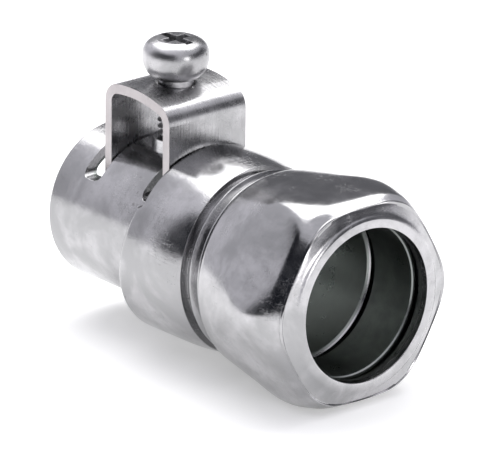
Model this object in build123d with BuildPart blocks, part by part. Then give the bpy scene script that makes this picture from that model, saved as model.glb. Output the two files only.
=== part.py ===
"""Conduit compression fitting with a saddle clamp for flexible cable at its other end.

Frame: the origin is on the conduit's axis at the stop that the conduit's end meets.
+X runs along the axis, out of the compression nut's mouth. +Z runs up through the
saddle screw. Millimetres.
"""
import os
from math import cos, radians, sin, sqrt, tan

from build123d import *

os.makedirs("parts", exist_ok=True)

# --- Conduit end: the thin-wall conduit that the fitting takes -----------------------
conduit_diameter = 17.93          # nominal half-inch thin-wall conduit
socket_clearance = 0.17           # radial, between conduit and socket
socket_depth = 15.9               # stop to the body's mouth
seat_depth = 0.35                 # conical seat in the body's mouth
seat_angle = 45.0                 # degrees from the axis

# --- Body thread, right-handed -------------------------------------------------------
threads_per_inch = 18
body_thread_radius = 11.1         # crest
body_thread_depth = 0.80
thread_relief_length = 0.35       # plain groove behind the thread
flank_angle = 30.0                # half of the thread's included angle
thread_flank_gap = 0.08           # axial play on each flank of a mating thread
thread_radial_gap = 0.10          # radial play of the nut's thread
thread_embed = 0.15               # how far a thread ridge is rooted in its core
thread_trim = 0.03                # trimming envelopes pass this far outside the crests

# --- Belly and shoulder --------------------------------------------------------------
belly_radius = 11.75
belly_front = 6.5                 # where the belly ends and the thread relief starts
belly_front_radius = 11.35
belly_crown = 1.5                 # where the belly is widest
shoulder_height_x = -4.4          # the shoulder's face where it crosses the axis
shoulder_slant = 11.0             # degrees that the shoulder leans, its top forward
shoulder_round = 0.95
shoulder_hollow = 0.55

# --- Cable end -----------------------------------------------------------------------
tube_radius = 9.55
tube_wall = 1.35
tube_rise = 0.6                   # the cable end sits this far above the conduit's axis
tube_end = -19.7
tube_end_round = 0.35
throat_end_chamfer = 0.3

# --- Saddle strap --------------------------------------------------------------------
strap_thickness = 1.15
strap_width = 11.6
strap_nut_side = -2.2             # outer face of the leg beside the shoulder
strap_cable_side = -13.8          # outer face of the leg towards the cable end
strap_height_nut_side = 16.6
strap_height_cable_side = 17.4
strap_crown_rise = 1.0            # crown above the chord between its two sides
strap_bend_radius = 2.3           # outer
leg_tip_height = 4.5              # lowest points of the legs, as supplied
cable_bite_radius = 7.0           # arch in the end of each leg

# --- Slots for the legs --------------------------------------------------------------
slot_width = 3.0
slot_floor_drop = 0.4             # slot floors below where the legs' edges leave the wall
slot_corner_round = 0.9           # in the slots' lower corners, seen from the side
slot_play = 0.2                   # between each leg and the slot's nut side

# --- Saddle screw --------------------------------------------------------------------
screw_threads_per_inch = 32
screw_radius = 2.085              # thread crest
screw_thread_depth = 0.43
screw_head_radius = 3.85
screw_head_height = 4.6
screw_head_flat_radius = 2.3      # flat on top of the head
screw_head_base_radius = 2.6
screw_head_base = 18.65           # underside of the head
screw_head_widest = 20.5          # height at which the head is widest
screw_head_base_slope = (1, 0.6)  # the head's outline leaves its underside this way
screw_head_top_slope = (-1, 0.25) # and meets its flat top this way
screw_tip = 8.45                  # end of the shank
screw_tip_taper = 0.5
screw_neck_length = 0.9           # plain shank under the head
screw_neck_radius = 2.12
screw_hole_clearance = 0.32       # radial, in the strap
drive_slot_width = 1.0
drive_slot_length = 5.0
drive_slot_depth = 1.1
drive_cross_width = 1.15
drive_cross_length = 3.5
drive_cross_depth = 1.9
drive_cross_taper = 12.0          # degrees

# --- Threaded boss on the cable end --------------------------------------------------
boss_radius = 2.66
boss_rise = 1.2                   # above the tube
boss_thread_radial_gap = 0.06
boss_thread_flank_gap = 0.05
boss_thread_embed = 0.1
tap_lead = 0.1                    # the tapped thread starts this far above the throat

# --- Compression nut -----------------------------------------------------------------
nut_back = 10.0
nut_mouth = 26.0
nut_across_flats = 24.8
nut_corner_round = 1.5
nut_back_radius = 11.95
nut_back_chamfer = 0.4
nut_corner_rise = 1.75            # of the corners, above the middle of the flats
nut_widest_x = 20.1
nut_mid_radius = 12.95            # of the outside, halfway up the skirt
nut_front_radius = 13.25          # of the dome, behind the front face
nut_front_x = 23.8
front_edge_radius = 12.6          # edge between the dome and the front face
front_edge_x = 25.3
lip_outer_radius = 10.7           # rounded lip round the mouth
lip_root_x = 25.75                # where the lip's round starts
lip_flat_radius = 10.2            # where its flat front starts
mouth_clearance = 0.185           # radial, between conduit and the nut's mouth
lip_depth = 1.5
cone_angle = 45.0                 # of the inside that squeezes the ring
nut_thread_start = 10.6
nut_thread_end = 15.4
nut_chamber_radius = 11.3         # plain bore ahead of the nut's thread
nut_thread_lead = 0.6             # chamfer into the nut's thread

# --- Compression ring, split ---------------------------------------------------------
ring_back = 16.9
ring_length = 6.6
ring_thickness = 1.05
ring_clearance = 0.115            # radial, round the conduit
ring_taper = 0.62                 # chamfer at both ends, outside
ring_edge = 0.15                  # chamfer at both ends, inside
ring_gap = 1.6                    # width of the split
ring_gap_angle = 150.0            # degrees round +X from +Y

# --- Worked-out sizes ----------------------------------------------------------------
inch = 25.4
body_pitch = inch / threads_per_inch
screw_pitch = inch / screw_threads_per_inch
conduit_radius = conduit_diameter / 2
socket_radius = conduit_radius + socket_clearance
mouth_radius = conduit_radius + mouth_clearance
ring_bore = conduit_radius + ring_clearance
ring_outer = ring_bore + ring_thickness
nut_widest_radius = nut_across_flats / 2 + nut_corner_rise
throat_radius = tube_radius - tube_wall
slot_floor = tube_rise + sqrt(throat_radius**2 - (strap_width / 2) ** 2) - slot_floor_drop
tube_top = tube_rise + tube_radius
boss_top = tube_top + boss_rise
strap_center = (strap_nut_side + strap_cable_side) / 2
body_thread_root = body_thread_radius - body_thread_depth
screw_root = screw_radius - screw_thread_depth
screw_hole_radius = screw_radius + screw_hole_clearance
screw_head_top = screw_head_base + screw_head_height
tap_radius = screw_radius + boss_thread_radial_gap


def ridge_half_width(radius, crest_radius, pitch):
    """Half the width of a thread ridge at a radius, from its crest width and flanks."""
    crest = pitch / 16
    return crest + (crest_radius - radius) * tan(radians(flank_angle))


def thread_ridge(base, root, crest, root_half, crest_half, pitch, length):
    """One helical ridge, right-handed, along the base plane's normal from its origin."""
    with BuildPart() as ridge:
        with BuildLine():
            path = Helix(
                pitch=pitch, height=length, radius=root,
                center=base.origin, direction=base.z_dir,
            )
        start = path @ 0
        outward = (start - base.origin).normalized()
        with BuildSketch(Plane(origin=start, x_dir=outward, z_dir=path % 0)):
            with BuildLine():
                Polyline(
                    (0, -root_half),
                    (crest - root, -crest_half),
                    (crest - root, crest_half),
                    (0, root_half),
                    close=True,
                )
            make_face()
        sweep(is_frenet=True)
    return ridge.part


def outer_ridge(base, crest, depth, embed, pitch, length):
    """Ridge of a thread on the outside of a shank."""
    root = crest - depth - embed
    return thread_ridge(
        base, root, crest,
        ridge_half_width(root, crest, pitch),
        ridge_half_width(crest, crest, pitch),
        pitch, length,
    )


def inner_ridge(base, crest, depth, radial_gap, flank_gap, embed, pitch, length):
    """Ridge inside a tapped hole that runs between the turns of an outer ridge."""
    root = crest + radial_gap + embed
    tip = crest - depth + radial_gap
    return thread_ridge(
        base, root, tip,
        pitch / 2 - ridge_half_width(root, crest, pitch) - flank_gap,
        pitch / 2 - ridge_half_width(tip, crest, pitch) - flank_gap,
        pitch, length,
    )


# --- Body ------------------------------------------------------------------------------
# Each threaded sleeve's core runs a pitch past the thread at both ends and its ridge half
# a pitch, so that the trimming envelope cuts both.
thread_start = belly_front + thread_relief_length
thread_lead = body_thread_depth
ridge_start = thread_start - body_pitch / 2
body_ridge = outer_ridge(
    Plane.YZ.offset(ridge_start), body_thread_radius, body_thread_depth,
    thread_embed, body_pitch, socket_depth - thread_start + body_pitch,
)

with BuildPart() as thread_end:
    with BuildSketch(Plane.XZ):
        with BuildLine():
            Polyline(
                (thread_start - body_pitch, socket_radius),
                (thread_start - body_pitch, body_thread_root),
                (socket_depth + body_pitch, body_thread_root),
                (socket_depth + body_pitch, socket_radius),
                close=True,
            )
        make_face()
    revolve(axis=Axis.X)
    add(body_ridge)
    with BuildSketch(Plane.XZ):
        with BuildLine():
            trim_radius = body_thread_radius + thread_trim
            trim_root = body_thread_root - thread_trim
            Polyline(
                (thread_start, 0),
                (thread_start, trim_root),
                (thread_start + thread_lead, trim_radius),
                (socket_depth - thread_lead, trim_radius),
                (socket_depth, trim_root),
                (socket_depth, 0),
                close=True,
            )
        make_face()
    revolve(axis=Axis.X, mode=Mode.INTERSECT)
    with BuildSketch(Plane.XZ):
        with BuildLine():
            seat_radius = socket_radius + seat_depth * tan(radians(seat_angle))
            Polyline(
                (socket_depth - seat_depth, socket_radius),
                (socket_depth, seat_radius),
                (socket_depth, socket_radius),
                close=True,
            )
        make_face()
    revolve(axis=Axis.X, mode=Mode.SUBTRACT)

# Slanted face that the belly is cut back to, leaning forward at the top.
lean = radians(shoulder_slant)
shoulder_plane = Plane(
    origin=(shoulder_height_x, 0, 0), x_dir=(0, 1, 0), z_dir=(cos(lean), 0, -sin(lean))
)
with BuildPart() as shell:
    with BuildSketch(Plane.XZ):
        with BuildLine():
            back = shoulder_height_x - belly_radius
            Line((back, 0), (back, belly_radius))
            Line((back, belly_radius), (belly_crown, belly_radius))
            RadiusArc(
                (belly_crown, belly_radius), (belly_front, belly_front_radius),
                ((belly_front - belly_crown) ** 2) / (2 * (belly_radius - belly_front_radius)),
            )
            Line((belly_front, belly_front_radius), (belly_front, 0))
            Line((belly_front, 0), (back, 0))
        make_face()
    revolve(axis=Axis.X)
    split(bisect_by=shoulder_plane, keep=Keep.TOP)
    belly_edge = shell.edges().sort_by(Axis.X)[0]
    fillet(belly_edge, shoulder_round)
    with BuildSketch(Plane.YZ.offset(tube_end)):
        with Locations((0, tube_rise)):
            Circle(tube_radius)
    extrude(amount=-tube_end)
    fillet(shell.edges().filter_by(GeomType.ELLIPSE), shoulder_hollow)
    fillet(shell.edges().sort_by(Axis.X)[0], tube_end_round)
    with BuildSketch(Plane.YZ.offset(belly_front)):
        Circle(body_thread_root)
    extrude(amount=thread_relief_length)
    with BuildSketch(Plane.YZ.offset(tube_end)):
        with Locations((0, tube_rise)):
            Circle(throat_radius)
    extrude(amount=-tube_end, mode=Mode.SUBTRACT)
    with BuildSketch(Plane.YZ):
        Circle(socket_radius)
    extrude(amount=thread_start, mode=Mode.SUBTRACT)
    chamfer(shell.faces().sort_by(Axis.X)[0].inner_wires()[0].edges(), throat_end_chamfer)

slot_nut_edges = (
    strap_nut_side + slot_play,
    strap_cable_side + strap_thickness + slot_play,
)
screw_foot = Plane.XY.move(Location((strap_center, 0, 0)))
screw_ridge_start = screw_tip - screw_pitch / 2
tap_floor = tube_rise + throat_radius + tap_lead
tap_turns = round((tap_floor - screw_ridge_start) / screw_pitch - 1)
tap_ridge_start = screw_ridge_start + (tap_turns + 1 / 2) * screw_pitch
tap_ridge = inner_ridge(
    screw_foot.offset(tap_ridge_start), screw_radius, screw_thread_depth,
    boss_thread_radial_gap, boss_thread_flank_gap, boss_thread_embed, screw_pitch,
    boss_top - tap_ridge_start + screw_pitch / 2,
)
tap_wall = tap_radius + 2 * boss_thread_embed
tap_tip = screw_root + boss_thread_radial_gap

with BuildPart() as tap:
    with BuildSketch(screw_foot.offset(tap_ridge_start - screw_pitch)):
        Circle(tap_wall)
        Circle(tap_radius, mode=Mode.SUBTRACT)
    extrude(amount=boss_top - tap_ridge_start + 2 * screw_pitch)
    add(tap_ridge)
    with BuildSketch(screw_foot.offset(tap_floor)):
        Circle(tap_wall)
        Circle(tap_tip - thread_trim, mode=Mode.SUBTRACT)
    extrude(amount=boss_top - tap_floor, mode=Mode.INTERSECT)

with BuildPart() as body:
    add(shell.part)
    with BuildSketch(screw_foot.offset(tube_rise)):
        Circle(boss_radius)
    extrude(amount=tube_radius + boss_rise)
    with BuildSketch(Plane.YZ.offset(tube_end + throat_end_chamfer)):
        with Locations((0, tube_rise)):
            Circle(throat_radius)
    extrude(amount=-tube_end - throat_end_chamfer, mode=Mode.SUBTRACT)
    with BuildSketch(screw_foot.offset(tube_rise)):
        Circle(tap_radius + boss_thread_embed)
    extrude(amount=tube_radius + boss_rise, mode=Mode.SUBTRACT)
    for edge_x in slot_nut_edges:
        with BuildSketch(Plane.XZ.offset(-belly_radius)) as slot:
            with Locations((edge_x - slot_width / 2, slot_floor + belly_radius / 2)):
                Rectangle(slot_width, belly_radius)
            fillet(slot.vertices().sort_by(Axis.Y)[:2], slot_corner_round)
        extrude(amount=2 * belly_radius, mode=Mode.SUBTRACT)
    add(tap.part)
    add(thread_end.part)
body.part.label = "body"
export_step(body.part, "parts/body.step")

# --- Compression nut ---------------------------------------------------------------------
nut_bore = body_thread_radius + thread_radial_gap
nut_tip = body_thread_root + thread_radial_gap
nut_wall = nut_bore + 2 * thread_embed
cone_start = nut_mouth - lip_depth
nut_turns = round((nut_thread_start - ridge_start) / body_pitch - 1)
nut_ridge_start = ridge_start + (nut_turns + 1 / 2) * body_pitch
nut_ridge = inner_ridge(
    Plane.YZ.offset(nut_ridge_start), body_thread_radius, body_thread_depth,
    thread_radial_gap, thread_flank_gap, thread_embed, body_pitch,
    nut_thread_end - nut_ridge_start + body_pitch / 2,
)

with BuildPart() as nut_thread:
    with BuildSketch(Plane.XZ):
        with BuildLine():
            Polyline(
                (nut_ridge_start - body_pitch, nut_bore),
                (nut_ridge_start - body_pitch, nut_wall),
                (nut_thread_end + body_pitch, nut_wall),
                (nut_thread_end + body_pitch, nut_bore),
                close=True,
            )
        make_face()
    revolve(axis=Axis.X)
    add(nut_ridge)
    with BuildSketch(Plane.XZ):
        with BuildLine():
            Polyline(
                (nut_thread_start, nut_bore + thread_trim),
                (nut_thread_start + nut_thread_lead, nut_tip - thread_trim),
                (nut_thread_end - nut_thread_lead, nut_tip - thread_trim),
                (nut_thread_end, nut_bore + thread_trim),
                (nut_thread_end, nut_wall),
                (nut_thread_start, nut_wall),
                close=True,
            )
        make_face()
    revolve(axis=Axis.X, mode=Mode.INTERSECT)

with BuildPart() as compression_nut:
    with BuildSketch(Plane.XZ):
        with BuildLine():
            skirt_start = nut_back + nut_back_chamfer
            Line((nut_back, 0), (nut_back, nut_back_radius - nut_back_chamfer))
            Line((nut_back, nut_back_radius - nut_back_chamfer), (skirt_start, nut_back_radius))
            Spline(
                (skirt_start, nut_back_radius),
                ((nut_back + nut_widest_x) / 2, nut_mid_radius),
                (nut_widest_x, nut_widest_radius),
                (nut_front_x, nut_front_radius),
                (front_edge_x, front_edge_radius),
            )
            Line((front_edge_x, front_edge_radius), (lip_root_x, lip_outer_radius))
            RadiusArc(
                (lip_root_x, lip_outer_radius), (nut_mouth, lip_flat_radius),
                lip_outer_radius - lip_flat_radius,
            )
            Line((nut_mouth, lip_flat_radius), (nut_mouth, 0))
            Line((nut_mouth, 0), (nut_back, 0))
        make_face()
    revolve(axis=Axis.X)
    with BuildSketch(Plane.YZ.offset(nut_back)):
        RegularPolygon(nut_across_flats / 2, 6, major_radius=False)
        fillet(vertices(), nut_corner_round)
    extrude(amount=nut_mouth - nut_back, mode=Mode.INTERSECT)
    with BuildSketch(Plane.XZ):
        with BuildLine():
            cone_length = (nut_chamber_radius - mouth_radius) / tan(radians(cone_angle))
            Polyline(
                (nut_back, 0),
                (nut_back, nut_bore),
                (nut_thread_start, nut_bore),
                (nut_thread_start, nut_bore + thread_embed),
                (nut_thread_end, nut_bore + thread_embed),
                (nut_thread_end, nut_chamber_radius),
                (cone_start - cone_length, nut_chamber_radius),
                (cone_start, mouth_radius),
                (nut_mouth + lip_depth, mouth_radius),
                (nut_mouth + lip_depth, 0),
                close=True,
            )
        make_face()
    revolve(axis=Axis.X, mode=Mode.SUBTRACT)
    add(nut_thread.part)
compression_nut.part.label = "compression_nut"
export_step(compression_nut.part, "parts/compression_nut.step")

# --- Compression ring ----------------------------------------------------------------------
ring_front = ring_back + ring_length
with BuildPart() as compression_ring:
    with BuildSketch(Plane.XZ):
        with BuildLine():
            Polyline(
                (ring_back, ring_bore + ring_edge),
                (ring_back, ring_outer - ring_taper),
                (ring_back + ring_taper, ring_outer),
                (ring_front - ring_taper, ring_outer),
                (ring_front, ring_outer - ring_taper),
                (ring_front, ring_bore + ring_edge),
                (ring_front - ring_edge, ring_bore),
                (ring_back + ring_edge, ring_bore),
                close=True,
            )
        make_face()
    revolve(axis=Axis.X)
    gap_direction = Vector(0, cos(radians(ring_gap_angle)), sin(radians(ring_gap_angle)))
    with BuildSketch(Plane(origin=(ring_back, 0, 0), x_dir=gap_direction, z_dir=(1, 0, 0))):
        with Locations((ring_outer, 0)):
            Rectangle(2 * ring_outer, ring_gap)
    extrude(amount=ring_length, mode=Mode.SUBTRACT)
compression_ring.part.label = "compression_ring"
export_step(compression_ring.part, "parts/compression_ring.step")

# --- Saddle strap ----------------------------------------------------------------------------
with BuildPart() as saddle_strap:
    with BuildSketch(Plane.XZ.offset(-strap_width / 2)) as profile:
        with BuildLine():
            floor = leg_tip_height - 2 * strap_thickness
            crown_x = strap_center
            crown_z = (strap_height_nut_side + strap_height_cable_side) / 2 + strap_crown_rise
            Line((strap_cable_side, floor), (strap_cable_side, strap_height_cable_side))
            ThreePointArc(
                (strap_cable_side, strap_height_cable_side),
                (crown_x, crown_z),
                (strap_nut_side, strap_height_nut_side),
            )
            Line((strap_nut_side, strap_height_nut_side), (strap_nut_side, floor))
            Line((strap_nut_side, floor), (strap_cable_side, floor))
        make_face()
        fillet(profile.vertices().sort_by(Axis.Y)[-2:], strap_bend_radius)
        offset(amount=-strap_thickness, mode=Mode.SUBTRACT, kind=Kind.INTERSECTION)
    extrude(amount=strap_width)
    with BuildSketch(Plane.XY.offset(leg_tip_height)):
        with Locations((strap_center, 0)):
            Circle(screw_hole_radius)
    extrude(amount=crown_z, mode=Mode.SUBTRACT)
    # The legs' ends: an arch that bites the cable, and nothing left below their tips.
    bite_center = leg_tip_height - sqrt(cable_bite_radius**2 - (strap_width / 2) ** 2)
    with BuildSketch(Plane.YZ.offset(strap_cable_side - strap_thickness)):
        with Locations((0, bite_center)):
            Circle(cable_bite_radius)
        with Locations((0, leg_tip_height - strap_width / 2)):
            Rectangle(2 * strap_width, strap_width)
    extrude(amount=strap_nut_side - strap_cable_side + 2 * strap_thickness, mode=Mode.SUBTRACT)
saddle_strap.part.label = "saddle_strap"
export_step(saddle_strap.part, "parts/saddle_strap.step")

# --- Saddle screw ------------------------------------------------------------------------------
thread_top = screw_head_base - screw_neck_length
screw_ridge = outer_ridge(
    screw_foot.offset(screw_ridge_start), screw_radius, screw_thread_depth,
    boss_thread_embed, screw_pitch, thread_top - screw_ridge_start,
)
screw_axis = Axis((strap_center, 0, 0), (0, 0, 1))
screw_plane = Plane.XZ.move(Location((strap_center, 0, 0)))
with BuildPart() as saddle_screw:
    with BuildSketch(screw_plane):
        with BuildLine():
            Polyline(
                (0, screw_tip - screw_pitch),
                (screw_root, screw_tip - screw_pitch),
                (screw_root, screw_head_base),
                (0, screw_head_base),
                close=True,
            )
        make_face()
    revolve(axis=screw_axis)
    add(screw_ridge)
    with BuildSketch(screw_plane):
        with BuildLine():
            Polyline(
                (0, screw_tip),
                (screw_root - screw_tip_taper / 2, screw_tip),
                (screw_radius + thread_trim, screw_tip + screw_tip_taper + screw_tip_taper / 2),
                (screw_radius + thread_trim, thread_top),
                (0, thread_top),
                close=True,
            )
        make_face()
    revolve(axis=screw_axis, mode=Mode.INTERSECT)
    with BuildSketch(screw_plane):
        with BuildLine():
            neck_end = (screw_neck_radius, screw_head_base)
            Line((0, thread_top - screw_thread_depth), (screw_root, thread_top - screw_thread_depth))
            Line((screw_root, thread_top - screw_thread_depth), (screw_neck_radius, thread_top))
            Line((screw_neck_radius, thread_top), neck_end)
            Line(neck_end, (screw_head_base_radius, screw_head_base))
            Spline(
                (screw_head_base_radius, screw_head_base),
                (screw_head_radius, screw_head_widest),
                (screw_head_flat_radius, screw_head_top),
                tangents=(screw_head_base_slope, screw_head_top_slope),
            )
            Line((screw_head_flat_radius, screw_head_top), (0, screw_head_top))
            Line((0, screw_head_top), (0, thread_top - screw_thread_depth))
        make_face()
    revolve(axis=screw_axis)
    with BuildSketch(Plane.XY.offset(screw_head_top)):
        with Locations((strap_center, 0)):
            Rectangle(drive_slot_length, drive_slot_width)
    extrude(amount=-drive_slot_depth, mode=Mode.SUBTRACT)
    with BuildSketch(Plane.XY.offset(screw_head_top)):
        with Locations((strap_center, 0)):
            Rectangle(drive_cross_width, drive_cross_length)
            Rectangle(drive_cross_length, drive_cross_width)
    extrude(amount=-drive_cross_depth, taper=drive_cross_taper, mode=Mode.SUBTRACT)
saddle_screw.part.label = "saddle_screw"
export_step(saddle_screw.part, "parts/saddle_screw.step")
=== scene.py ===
"""Looks of a conduit compression fitting: plated steel, a pale floor and soft light.

Laid out as an add-on and run as a script. Lengths are metres; the CAD frame gives every place.
"""
from math import atan2, cos, floor, hypot, pi, radians, sin, tan, tau

import bmesh
import bpy
from bpy.props import (
    FloatProperty, FloatVectorProperty, IntProperty, PointerProperty,
)
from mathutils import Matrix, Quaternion, Vector


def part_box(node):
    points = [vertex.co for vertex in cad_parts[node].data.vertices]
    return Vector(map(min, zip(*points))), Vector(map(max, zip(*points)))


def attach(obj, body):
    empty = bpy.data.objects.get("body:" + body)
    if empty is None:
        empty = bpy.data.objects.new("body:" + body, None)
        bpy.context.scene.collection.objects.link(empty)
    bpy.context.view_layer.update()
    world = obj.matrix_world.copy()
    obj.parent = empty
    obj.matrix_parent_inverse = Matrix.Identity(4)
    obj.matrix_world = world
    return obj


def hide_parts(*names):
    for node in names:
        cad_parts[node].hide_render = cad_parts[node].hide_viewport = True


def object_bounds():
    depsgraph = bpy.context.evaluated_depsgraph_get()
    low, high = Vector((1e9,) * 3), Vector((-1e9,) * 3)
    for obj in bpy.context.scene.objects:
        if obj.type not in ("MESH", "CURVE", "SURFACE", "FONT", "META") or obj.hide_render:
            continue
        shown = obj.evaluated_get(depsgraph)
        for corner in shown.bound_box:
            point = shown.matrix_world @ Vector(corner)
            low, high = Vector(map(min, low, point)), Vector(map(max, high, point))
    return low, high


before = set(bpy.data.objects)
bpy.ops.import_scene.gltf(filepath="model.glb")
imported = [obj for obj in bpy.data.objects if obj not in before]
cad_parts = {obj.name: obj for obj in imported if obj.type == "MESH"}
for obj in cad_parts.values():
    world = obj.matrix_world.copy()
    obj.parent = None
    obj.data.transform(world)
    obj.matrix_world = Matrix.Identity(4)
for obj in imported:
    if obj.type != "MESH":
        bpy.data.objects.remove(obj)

bl_info = {
    "name": "Conduit compression fitting",
    "version": (1, 0, 0),
    "blender": (4, 5, 0),
    "location": "View3D > Sidebar > Fitting",
    "description": "Makes and finishes the pieces of a conduit compression fitting",
    "category": "Object",
}

MM = 0.001
CAD_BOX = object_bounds()


# --- Shader trees ----------------------------------------------------------------------------
class Signal:
    """A socket's value that can be used in ordinary arithmetic."""

    def __init__(self, tree, socket):
        self.tree = tree
        self.socket = socket

    def _math(self, operation, *values):
        return self.tree.node(
            "ShaderNodeMath", {"operation": operation}, dict(enumerate(values))
        )

    def __add__(self, other):
        return self._math("ADD", self, other)

    __radd__ = __add__

    def __sub__(self, other):
        return self._math("SUBTRACT", self, other)

    def __rsub__(self, other):
        return self._math("SUBTRACT", other, self)

    def __mul__(self, other):
        return self._math("MULTIPLY", self, other)

    __rmul__ = __mul__

    def __truediv__(self, other):
        return self._math("DIVIDE", self, other)

    def absolute(self):
        return self._math("ABSOLUTE", self)

    def power(self, exponent):
        return self._math("POWER", self, exponent)

    def highest(self, other):
        return self._math("MAXIMUM", self, other)

    def lowest(self, other):
        return self._math("MINIMUM", self, other)

    def rise(self, low, high):
        """0 below low, 1 above high and a smooth step between them."""
        return self.tree.node(
            "ShaderNodeMapRange",
            {"interpolation_type": "SMOOTHSTEP"},
            {"Value": self, "From Min": low, "From Max": high},
        )


class Tree:
    """A node tree that is written as calls and arithmetic."""

    def __init__(self, owner):
        owner.use_nodes = True
        self.nodes = owner.node_tree.nodes
        self.links = owner.node_tree.links
        self.nodes.clear()

    def node(self, kind, settings=None, inputs=None, out=0):
        """Adds a node of a type, with its settings set first and then its sockets."""
        made = self.nodes.new(kind)
        for name, value in (settings or {}).items():
            setattr(made, name, value)
        for name, value in (inputs or {}).items():
            socket = made.inputs[name]
            if isinstance(value, Signal):
                self.links.new(value.socket, socket)
            elif hasattr(socket.default_value, "__len__") and len(socket.default_value) == 4:
                socket.default_value = (*value, 1)
            else:
                socket.default_value = value
        return Signal(self, made.outputs[out]) if len(made.outputs) else made

    def place(self):
        return self.node("ShaderNodeTexCoord", out="Object")

    def parts(self, vector):
        apart = self.node("ShaderNodeSeparateXYZ", inputs={0: vector}).socket.node
        return [Signal(self, socket) for socket in apart.outputs]

    def joined(self, x, y, z):
        return self.node("ShaderNodeCombineXYZ", inputs={0: x, 1: y, 2: z})

    def scaled(self, vector, scale):
        return self.node(
            "ShaderNodeVectorMath", {"operation": "MULTIPLY"}, {0: vector, 1: scale}
        )

    def dot(self, vector, direction):
        return self.node(
            "ShaderNodeVectorMath", {"operation": "DOT_PRODUCT"},
            {0: vector, 1: direction}, out="Value",
        )

    def noise(self, vector, scale, detail=2.0, rough=0.5, warp=0.0):
        return self.node(
            "ShaderNodeTexNoise",
            inputs={
                "Vector": vector, "Scale": scale, "Detail": detail,
                "Roughness": rough, "Distortion": warp,
            },
        )

    def mixed(self, factor, first, second):
        made = self.nodes.new("ShaderNodeMix")
        made.data_type = "RGBA"
        for index, value in ((0, factor), (6, first), (7, second)):
            if isinstance(value, Signal):
                self.links.new(value.socket, made.inputs[index])
            elif index:
                made.inputs[index].default_value = (*value, 1)
            else:
                made.inputs[index].default_value = value
        return Signal(self, made.outputs[2])


# --- Finishes --------------------------------------------------------------------------------
def plated(
    name, pale, dark, roughness, peel, lines=None, round_edges=0.0, speckle=0.0,
    pitting=1.0, bore_shade=None, rim=None,
):
    """Plated steel: cloudy colour, fine pits and scratches, and a slightly wavy skin.

    lines is a function of the tree that returns fine tool marks as heights. The bore shade
    mask and rim are functions of the tree that return 1 on the walls of a bore, where shade
    is painted into the colour, and where the steel was sheared.
    """
    material = bpy.data.materials.new(name)
    tree = Tree(material)
    here = tree.place()
    cloud = tree.noise(here, 130, 4, 0.6, 0.4)
    mottle = tree.noise(here, 620, 3, 0.6)
    skin = tree.noise(here, 1500, 2, 0.5)
    grain = tree.noise(here, 5200, 2, 0.6)
    pit_cells = tree.node(
        "ShaderNodeTexVoronoi", {"feature": "F1"},
        {"Vector": here, "Scale": 900.0, "Randomness": 1.0}, out="Distance",
    )
    pit_choice = tree.noise(here, 420, 1).rise(0.6, 0.66)
    pits = (1 - pit_cells.rise(0.10, 0.24)) * pit_choice * pitting
    long_way = tree.scaled(here, (260, 900, 2600))
    cross_way = tree.scaled(here, (2300, 500, 420))
    scratches = 0.0
    for way in (long_way, cross_way):
        wander = tree.noise(way, 1.0, 1.5, 0.5, 0.6)
        line = 1 - (wander - 0.5).absolute().rise(0.004, 0.016)
        scratches = line + scratches
    worn = tree.noise(here, 230, 2).rise(0.5, 0.62)
    scratches = scratches * worn
    colour = tree.mixed(cloud.rise(0.38, 0.66), dark, pale)
    colour = tree.mixed(mottle.rise(0.45, 0.7) * 0.35, colour, dark)
    colour = tree.mixed(grain.rise(0.5, 0.75) * 0.3, colour, dark)
    colour = tree.mixed(pits * 0.5, colour, (0.12, 0.12, 0.11))
    shine = roughness + (mottle - 0.5) * 0.22 + (cloud - 0.5) * 0.18 + grain * 0.06
    shine = shine + scratches * 0.08 + pits * 0.2
    height = skin * peel + mottle * peel + grain * (0.5 + speckle)
    height = height - pits * 1.2 - scratches * 0.4
    # Painted shade: bore walls darkened to a greenish grey, and made rougher.
    if bore_shade:
        shaded = bore_shade(tree)
        colour = tree.mixed(shaded * 0.8, colour, (0.30, 0.325, 0.305))
        shine = shine + shaded * 0.12
    if rim:
        sheared = rim(tree)
        colour = tree.mixed(sheared * 0.7, colour, (0.60, 0.56, 0.56))
        shine = shine + sheared * 0.22
        height = height + sheared * grain * 1.5
    if lines:
        marks = lines(tree)
        height = height + marks
        shine = shine + marks * 0.05
    bump_inputs = {"Height": height, "Strength": 1.0, "Distance": 0.006 * MM}
    if round_edges:
        bump_inputs["Normal"] = tree.node(
            "ShaderNodeBevel", {"samples": 4}, {"Radius": round_edges}
        )
    normal = tree.node("ShaderNodeBump", inputs=bump_inputs)
    surface = tree.node(
        "ShaderNodeBsdfPrincipled",
        inputs={
            "Base Color": colour, "Metallic": 1.0, "Normal": normal,
            "Roughness": shine.highest(0.05).lowest(0.9),
        },
    )
    tree.node("ShaderNodeOutputMaterial", inputs={"Surface": surface})
    return material


def turning_marks(tree, across=9000.0, depth=0.35):
    """Rings left by turning, spaced along the outline, that fade in and out round it."""
    along = tree.node("ShaderNodeAttribute", {"attribute_name": "along"}, out="Fac")
    x, y, z = tree.parts(tree.place())
    fine = tree.noise(tree.joined(along * across, y * 60, z * 60), 1.0, 2, 0.6)
    return (fine - 0.5) * depth


def brushed(scale, depth):
    """Straight grain: noise drawn out along one direction of the piece."""
    def marks(tree):
        return (tree.noise(tree.scaled(tree.place(), scale), 1.0, 3, 0.65) - 0.5) * depth
    return marks


def socket_bore_shade(tree):
    """1 on the walls of the body's two bores, where shade is painted into the colour."""
    x, y, z = tree.parts(tree.place())
    front = x.rise(-0.3 * MM, 0.1 * MM)
    raised = z - (1 - front) * 0.6 * MM
    wall = 8.5 * MM + front * 0.8 * MM
    reach = (y * y + raised * raised).power(0.5)
    return 1 - (reach - wall).rise(0.0, 0.08 * MM)


def nut_bore_shade(tree):
    """1 on the nut's inner faces behind its lip, where shade is painted into the colour."""
    x, y, z = tree.parts(tree.place())
    reach = (y * y + z * z).power(0.5)
    return (1 - reach.rise(11.3 * MM, 11.4 * MM)) * (1 - x.rise(25.05 * MM, 25.2 * MM))


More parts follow.
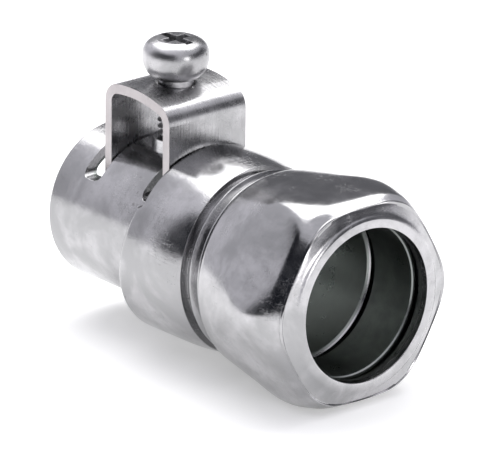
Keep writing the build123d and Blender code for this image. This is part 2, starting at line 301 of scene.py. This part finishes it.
def strap_sides(tree):
    """1 on the strap's two sheared sides."""
    x, y, z = tree.parts(tree.place())
    return y.absolute().rise(5.72 * MM, 5.79 * MM)


# --- Mesh helpers ----------------------------------------------------------------------------
def finished(shape, name, body, slot, *nodes):
    """Turns a bmesh into a piece that rides on a body and stands for CAD nodes."""
    mesh = bpy.data.meshes.new(name)
    shape.to_mesh(mesh)
    shape.free()
    mesh.shade_smooth()
    mesh.set_sharp_from_angle(angle=radians(38))
    piece = bpy.data.objects.new(name, mesh)
    bpy.context.scene.collection.objects.link(piece)
    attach(piece, body)
    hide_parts(*nodes)
    return piece


def merged(node):
    """A bmesh of a CAD node with its loose triangles joined and its flat faces whole."""
    shape = bmesh.new()
    shape.from_mesh(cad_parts[node].data)
    bmesh.ops.remove_doubles(shape, verts=shape.verts, dist=1e-7)
    bmesh.ops.dissolve_limit(
        shape, angle_limit=radians(0.3), verts=shape.verts, edges=shape.edges
    )
    return shape


def softened(piece, width, segments=2, angle=32.0):
    """A small round on every sharp edge."""
    bevel = piece.modifiers.new("soft edges", "BEVEL")
    bevel.width = width
    bevel.segments = segments
    bevel.limit_method = "ANGLE"
    bevel.angle_limit = radians(angle)
    bevel.use_clamp_overlap = True
    return bevel


def through(points, steps):
    """Points on a smooth line through the given ones, steps in each span."""
    line = []
    ends = [points[0], *points, points[-1]]
    for a, b, c, d in zip(ends, ends[1:], ends[2:], ends[3:]):
        span = (c - b).length
        start = (c - a).normalized() * span
        end = (d - b).normalized() * span
        for step in range(steps):
            t = step / steps
            line.append(
                b * (1 + 2 * t) * (1 - t) ** 2 + start * t * (1 - t) ** 2
                + c * t * t * (3 - 2 * t) + end * t * t * (t - 1)
            )
    return [*line, points[-1]]


def arc(centre, radius, first, last, steps):
    """Points on an arc of the outline, angles in degrees."""
    turn = [radians(first + (last - first) * step / steps) for step in range(steps + 1)]
    return [centre + Vector((cos(a), sin(a))) * radius for a in turn]


def turned(outline, axis, centre, steps):
    """A closed outline, given as length along the axis and radius, turned once round it."""
    shape = bmesh.new()
    along = shape.verts.layers.float.new("along")
    side = axis.orthogonal().normalized()
    ring = []
    travelled = 0.0
    for index, point in enumerate(outline):
        if index:
            travelled += (point - outline[index - 1]).length
        vert = shape.verts.new(centre + axis * point.x + side * point.y)
        vert[along] = travelled
        ring.append(vert)
    edges = [shape.edges.new(pair) for pair in zip(ring, ring[1:] + ring[:1])]
    bmesh.ops.spin(
        shape, geom=ring + edges, cent=centre, axis=axis, angle=tau, steps=steps,
        use_merge=True, use_duplicate=False,
    )
    bmesh.ops.recalc_face_normals(shape, faces=shape.faces)
    return shape


def ridge_rise(place, angle, start, pitch, root_half, crest_half):
    """Height, from 0 to 1, of a right-handed thread ridge at a place and angle."""
    turns = (place - start) / pitch - angle / tau
    off = abs(turns - floor(turns + 0.5)) * pitch
    return min(1.0, max(0.0, (root_half - off) / (root_half - crest_half)))


# --- Settings --------------------------------------------------------------------------------
class PlatingSettings(bpy.types.PropertyGroup):
    """Colours of the plated steel."""

    pale: FloatVectorProperty(
        name="Pale zinc", description="Colour of clean plating",
        subtype="COLOR", size=3, min=0, max=1, default=(0.55, 0.545, 0.555),
    )
    dark: FloatVectorProperty(
        name="Dull zinc", description="Colour of clouded plating",
        subtype="COLOR", size=3, min=0, max=1, default=(0.37, 0.37, 0.375),
    )
    ring: FloatVectorProperty(
        name="Ring", description="Colour of the compression ring",
        subtype="COLOR", size=3, min=0, max=1, default=(0.36, 0.38, 0.365),
    )
    ring_dull: FloatVectorProperty(
        name="Clouded ring", description="Colour of the ring where its plating is dull",
        subtype="COLOR", size=3, min=0, max=1, default=(0.25, 0.27, 0.26),
    )


class NutSettings(bpy.types.PropertyGroup):
    """Sizes of the compression nut that shape its outside."""

    across_flats: FloatProperty(
        name="Across flats", description="Distance between opposite flats",
        unit="LENGTH", subtype="DISTANCE", default=24.8 * MM,
    )
    corner_sharpness: FloatProperty(
        name="Corner sharpness", description="Higher values make the hexagon's corners tighter",
        default=30.0, min=8, max=200,
    )
    edge_sharpness: FloatProperty(
        name="Edge sharpness", description="Higher values make the edges of the flats crisper",
        default=30.0, min=8, max=400,
    )
    segments: IntProperty(
        name="Segments", description="Steps round the nut", default=240, min=48, max=480,
    )


class StageSettings(bpy.types.PropertyGroup):
    """Floor, light and camera."""

    floor_colour: FloatVectorProperty(
        name="Floor", description="Colour of the floor",
        subtype="COLOR", size=3, min=0, max=1, default=(0.88, 0.88, 0.875),
    )
    wall_colour: FloatVectorProperty(
        name="Studio walls", description="Colour of the light that comes from the sides",
        subtype="COLOR", size=3, min=0, max=1, default=(0.74, 0.735, 0.79),
    )
    overhead_power: FloatProperty(
        name="Overhead light", description="Power of the large light above",
        unit="POWER", default=5.0, min=0,
    )
    side_power: FloatProperty(
        name="Side light", description="Power of the upright light on the right",
        unit="POWER", default=0.8, min=0,
    )
    camera_aim: FloatVectorProperty(
        name="Camera aim", description="Point at the middle of the picture",
        subtype="TRANSLATION", size=3, unit="LENGTH",
        default=(15.19 * MM, -8.34 * MM, 7.69 * MM),
    )
    camera_distance: FloatProperty(
        name="Camera distance", description="From the aim to the camera",
        unit="LENGTH", subtype="DISTANCE", default=796.5 * MM,
    )
    camera_turn: FloatProperty(
        name="Camera turn", description="Angle round the fitting from its axis",
        subtype="ANGLE", default=radians(-40.68),
    )
    camera_height: FloatProperty(
        name="Camera elevation", description="Angle above the horizon",
        subtype="ANGLE", default=radians(19.77),
    )
    camera_roll: FloatProperty(
        name="Camera roll", description="Turn of the camera about its own axis",
        subtype="ANGLE", default=radians(0.58),
    )
    camera_lens: FloatProperty(
        name="Focal length", description="Of the camera's lens, in millimetres",
        default=505.8, min=1,
    )


# --- Operators -------------------------------------------------------------------------------
class FITTING_OT_body(bpy.types.Operator):
    """Finish the body: belly, cable tube, threads and boss"""

    bl_idname = "fitting.body"
    bl_label = "Body"

    def execute(self, context):
        colours = context.scene.fitting_plating
        zinc = plated(
            "plated_body", colours.pale, colours.dark, 0.16, 1.0, round_edges=0.12 * MM,
            pitting=0.5, bore_shade=socket_bore_shade,
        )
        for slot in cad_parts["body"].material_slots:
            slot.material = zinc
        return {"FINISHED"}


class FITTING_OT_nut(bpy.types.Operator):
    """Make the compression nut: soft cold-formed hexagon, dome, ridge, lip and thread"""

    bl_idname = "fitting.nut"
    bl_label = "Compression nut"

    def execute(self, context):
        sizes = context.scene.fitting_nut
        low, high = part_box("compression_nut")
        back, mouth = low.x, high.x
        pitch = 25.4 / 18 * MM
        body_thread_start = 6.85 * MM
        side_play = 0.09 * MM
        dome_length, dome_depth = 1.8 * MM, 0.055
        thread_start, thread_end = back + 0.6 * MM, back + 5.4 * MM
        bore, tip = 11.2 * MM, 10.42 * MM
        inner_mouth = 9.15 * MM
        skirt = through(
            [
                Vector((back + 0.4 * MM, 11.95 * MM)), Vector((back + 5.35 * MM, 12.95 * MM)),
                Vector((back + 10.1 * MM, 14.1 * MM)), Vector((mouth - 2.2 * MM, 13.2 * MM)),
                Vector((mouth - 0.98 * MM, 12.4 * MM)),
            ],
            14,
        )
        ridge = arc(Vector((mouth - 0.8 * MM, 12.3 * MM)), 0.2 * MM, 120, -40, 6)
        band = through(
            [
                Vector((mouth - 0.7 * MM, 12.02 * MM)), Vector((mouth - 0.5 * MM, 11.3 * MM)),
                Vector((mouth - 0.3 * MM, 10.72 * MM)), Vector((mouth - 0.1 * MM, 10.4 * MM)),
                Vector((mouth, 10.15 * MM)),
            ],
            4,
        )
        lip = [
            Vector((mouth, 9.6 * MM)), Vector((mouth, inner_mouth + 0.12 * MM)),
            Vector((mouth - 0.04 * MM, inner_mouth + 0.03 * MM)),
        ]
        cone = [
            Vector((mouth - 0.1 * MM, inner_mouth)), Vector((mouth - 1.5 * MM, inner_mouth)),
            Vector((mouth - 3.65 * MM, 11.3 * MM)), Vector((mouth - 7.0 * MM, 11.3 * MM)),
        ]
        rows = 60
        thread = [
            Vector((thread_end + (thread_start - thread_end) * row / rows, bore))
            for row in range(rows + 1)
        ]
        heel = [
            Vector((back + 0.15 * MM, bore)), Vector((back, bore + 0.15 * MM)),
            Vector((back, 11.55 * MM)), Vector((back + 0.1 * MM, 11.72 * MM)),
        ]
        outline = skirt + ridge + band + lip + cone + thread + heel
        shape = turned(outline, Vector((1, 0, 0)), Vector(), sizes.segments)
        half = sizes.across_flats / 2
        corner, edge = sizes.corner_sharpness, sizes.edge_sharpness
        crest = pitch / 16
        flank = tan(radians(30))
        full = 11.1 * MM
        root_half = pitch / 2 - (crest + (full - 11.25 * MM) * flank) - side_play
        tip_half = pitch / 2 - (crest + (full - tip) * flank) - side_play
        ridge_start = body_thread_start - pitch / 2
        mate_start = ridge_start + 2.5 * pitch
        lead = 0.6 * MM
        for vert in shape.verts:
            x, y, z = vert.co
            radius = hypot(y, z)
            angle = atan2(z, y)
            if thread_start <= x <= thread_end and radius < bore + 0.05 * MM:
                rise = ridge_rise(x, angle - pi / 2, mate_start, pitch, root_half, tip_half)
                fade = min(1.0, (x - thread_start) / lead, (thread_end - x) / lead)
                new = max(bore - (bore - tip) * rise, bore - (bore - tip) * fade)
            elif radius > 10.73 * MM and x > back + 0.05 * MM:
                flat = sum(
                    max(0.0, cos(angle - radians(30 + 60 * side))) ** corner
                    for side in range(6)
                ) ** (1 / corner)
                dome = min(1.0, max(0.0, (x - mouth + 2.6 * MM) / dome_length))
                hexagon = half / flat * (1 - dome_depth * dome * dome)
                new = (hexagon ** -edge + radius ** -edge) ** (-1 / edge)
            else:
                continue
            vert.co.y *= new / radius
            vert.co.z *= new / radius
        nut = finished(shape, "Compression_nut", "nut", "plated_nut", "compression_nut")
        colours = context.scene.fitting_plating
        nut.data.materials.append(
            plated(
                "plated_nut", colours.pale, colours.dark, 0.165, 1.1,
                lines=turning_marks, speckle=0.5, pitting=0.3, bore_shade=nut_bore_shade,
            )
        )
        return {"FINISHED"}


class FITTING_OT_ring(bpy.types.Operator):
    """Finish the split compression ring"""

    bl_idname = "fitting.ring"
    bl_label = "Compression ring"

    def execute(self, context):
        colours = context.scene.fitting_plating
        steel = plated(
            "ring_steel", colours.ring, colours.ring_dull, 0.30, 0.5,
            lines=brushed((5200, 180, 180), 0.8), round_edges=0.08 * MM, pitting=0.0,
        )
        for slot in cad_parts["compression_ring"].material_slots:
            slot.material = steel
        return {"FINISHED"}


class FITTING_OT_strap(bpy.types.Operator):
    """Make the saddle strap with softened sheared edges"""

    bl_idname = "fitting.strap"
    bl_label = "Saddle strap"

    def execute(self, context):
        strap = finished(
            merged("saddle_strap"), "Saddle_strap", "strap", "strap_steel", "saddle_strap"
        )
        softened(strap, 0.12 * MM, 3)
        colours = context.scene.fitting_plating
        strap.data.materials.append(
            plated(
                "strap_steel", colours.pale, colours.dark, 0.24, 0.5,
                lines=brushed((260, 4200, 160), 3.2), pitting=0.3, rim=strap_sides,
            )
        )
        return {"FINISHED"}


class FITTING_OT_screw(bpy.types.Operator):
    """Finish the saddle screw"""

    bl_idname = "fitting.screw"
    bl_label = "Saddle screw"

    def execute(self, context):
        colours = context.scene.fitting_plating
        zinc = plated(
            "plated_screw", colours.pale, colours.dark, 0.26, 1.3, round_edges=0.14 * MM,
            speckle=0.6, pitting=1.0,
        )
        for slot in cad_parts["saddle_screw"].material_slots:
            slot.material = zinc
        return {"FINISHED"}


def add_light(name, place, aim, width, height, power, colour):
    """A rectangular soft light that faces its aim."""
    light = bpy.data.lights.new(name, "AREA")
    light.shape = "RECTANGLE"
    light.size = width
    light.size_y = height
    light.energy = power
    light.color = colour
    holder = bpy.data.objects.new(name, light)
    holder.location = place
    holder.rotation_mode = "QUATERNION"
    holder.rotation_quaternion = (Vector(aim) - Vector(place)).to_track_quat("-Z", "Y")
    bpy.context.scene.collection.objects.link(holder)
    return holder


def heading(turn, rise):
    """Unit vector at an angle round from +X and an angle above the horizon, in degrees."""
    a, e = radians(turn), radians(rise)
    return Vector((cos(a) * cos(e), sin(a) * cos(e), sin(e)))


class FITTING_OT_stage(bpy.types.Operator):
    """Make the floor, the studio light and the camera"""

    bl_idname = "fitting.stage"
    bl_label = "Stage"

    def execute(self, context):
        stage = context.scene.fitting_stage
        scene = context.scene
        scene.view_settings.view_transform = "Standard"

        shape = bmesh.new()
        bmesh.ops.create_grid(shape, x_segments=1, y_segments=1, size=30.0)
        bmesh.ops.translate(shape, verts=shape.verts, vec=(0, 0, CAD_BOX[0].z))
        mesh = bpy.data.meshes.new("Floor")
        shape.to_mesh(mesh)
        shape.free()
        ground = bpy.data.objects.new("Floor", mesh)
        scene.collection.objects.link(ground)
        paper = bpy.data.materials.new("floor_paper")
        tree = Tree(paper)
        fibre = tree.noise(tree.place(), 900, 3)
        surface = tree.node(
            "ShaderNodeBsdfPrincipled",
            inputs={
                "Base Color": tree.mixed(
                    fibre * 0.08, stage.floor_colour, [0.9 * c for c in stage.floor_colour]
                ),
                "Roughness": 0.85, "Emission Color": (1.0, 1.0, 1.0),
                "Emission Strength": 0.34,
            },
        )
        tree.node("ShaderNodeOutputMaterial", inputs={"Surface": surface})
        ground.data.materials.append(paper)

        world = bpy.data.worlds.new("Studio")
        scene.world = world
        tree = Tree(world)
        way = tree.node("ShaderNodeTexCoord", out="Generated")
        x, y, z = tree.parts(way)
        # Dark cards: one before the near side, one behind and one to the right.
        edge_near = tree.dot(way, heading(317, 0)).rise(-0.02, 0.02)
        edge_far = tree.dot(way, heading(235, 0)).rise(-0.02, 0.10)
        near = edge_near * edge_far * z.rise(-0.14, -0.02) * (1 - z.rise(0.66, 0.74))
        behind = tree.dot(way, heading(138, 20)).rise(0.86, 0.91)
        right = tree.dot(way, heading(101, 0)).rise(-0.02, 0.06)
        right = right * tree.dot(way, heading(4, 0)).rise(0.0, 0.12)
        right = right * z.rise(0.03, 0.12) * (1 - z.rise(0.48, 0.60))
        shade = near.highest(behind * 0.75).highest(right * 0.85)
        shade = shade * (1 - z.rise(0.68, 0.76))
        light = tree.mixed(shade, stage.wall_colour, (0.012, 0.014, 0.02))
        strength = 1.02 + 0.2 * z.rise(0.2, 0.9)
        sky = tree.node("ShaderNodeBackground", inputs={"Color": light, "Strength": strength})
        tree.node("ShaderNodeOutputWorld", inputs={"Surface": sky})

        add_light(
            "Overhead_light", (-0.24, 0.22, 0.62), (-0.12, 0.12, 0), 0.85, 0.66,
            stage.overhead_power, (1.0, 0.995, 0.985),
        )
        add_light(
            "Side_light", (0.9, -0.02, 0.2), (0, 0, 0.01), 0.22, 0.3,
            stage.side_power, (1.0, 0.99, 0.97),
        )

        lens = bpy.data.cameras.new("Camera")
        lens.lens = stage.camera_lens
        lens.sensor_width = 36.0
        lens.clip_start, lens.clip_end = 0.05, 100.0
        camera = bpy.data.objects.new("Camera", lens)
        back = Vector((
            cos(stage.camera_turn) * cos(stage.camera_height),
            sin(stage.camera_turn) * cos(stage.camera_height),
            sin(stage.camera_height),
        ))
        camera.location = Vector(stage.camera_aim) + back * stage.camera_distance
        camera.rotation_mode = "QUATERNION"
        camera.rotation_quaternion = (
            (-back).to_track_quat("-Z", "Y") @ Quaternion((0, 0, 1), stage.camera_roll)
        )
        scene.collection.objects.link(camera)
        scene.camera = camera
        return {"FINISHED"}


class FITTING_PT_panel(bpy.types.Panel):
    """Settings and steps of the fitting"""

    bl_idname = "FITTING_PT_panel"
    bl_label = "Conduit fitting"
    bl_space_type = "VIEW_3D"
    bl_region_type = "UI"
    bl_category = "Fitting"

    def draw(self, context):
        layout = self.layout
        for group in (
            context.scene.fitting_plating, context.scene.fitting_nut,
            context.scene.fitting_stage,
        ):
            box = layout.box()
            for name in group.__annotations__:
                box.prop(group, name)
        for step in STEPS:
            layout.operator(step.bl_idname)


SETTINGS = {
    "fitting_plating": PlatingSettings,
    "fitting_nut": NutSettings,
    "fitting_stage": StageSettings,
}
STEPS = (
    FITTING_OT_body, FITTING_OT_nut, FITTING_OT_ring, FITTING_OT_strap, FITTING_OT_screw,
    FITTING_OT_stage,
)


def register():
    for item in (*SETTINGS.values(), *STEPS, FITTING_PT_panel):
        bpy.utils.register_class(item)
    for name, group in SETTINGS.items():
        setattr(bpy.types.Scene, name, PointerProperty(type=group))


def unregister():
    for name in SETTINGS:
        delattr(bpy.types.Scene, name)
    for item in reversed((*SETTINGS.values(), *STEPS, FITTING_PT_panel)):
        bpy.utils.unregister_class(item)


def main():
    """Makes every piece and the stage."""
    register()
    bpy.ops.fitting.body()
    bpy.ops.fitting.nut()
    bpy.ops.fitting.ring()
    bpy.ops.fitting.strap()
    bpy.ops.fitting.screw()
    bpy.ops.fitting.stage()


if __name__ == "__main__":
    main()
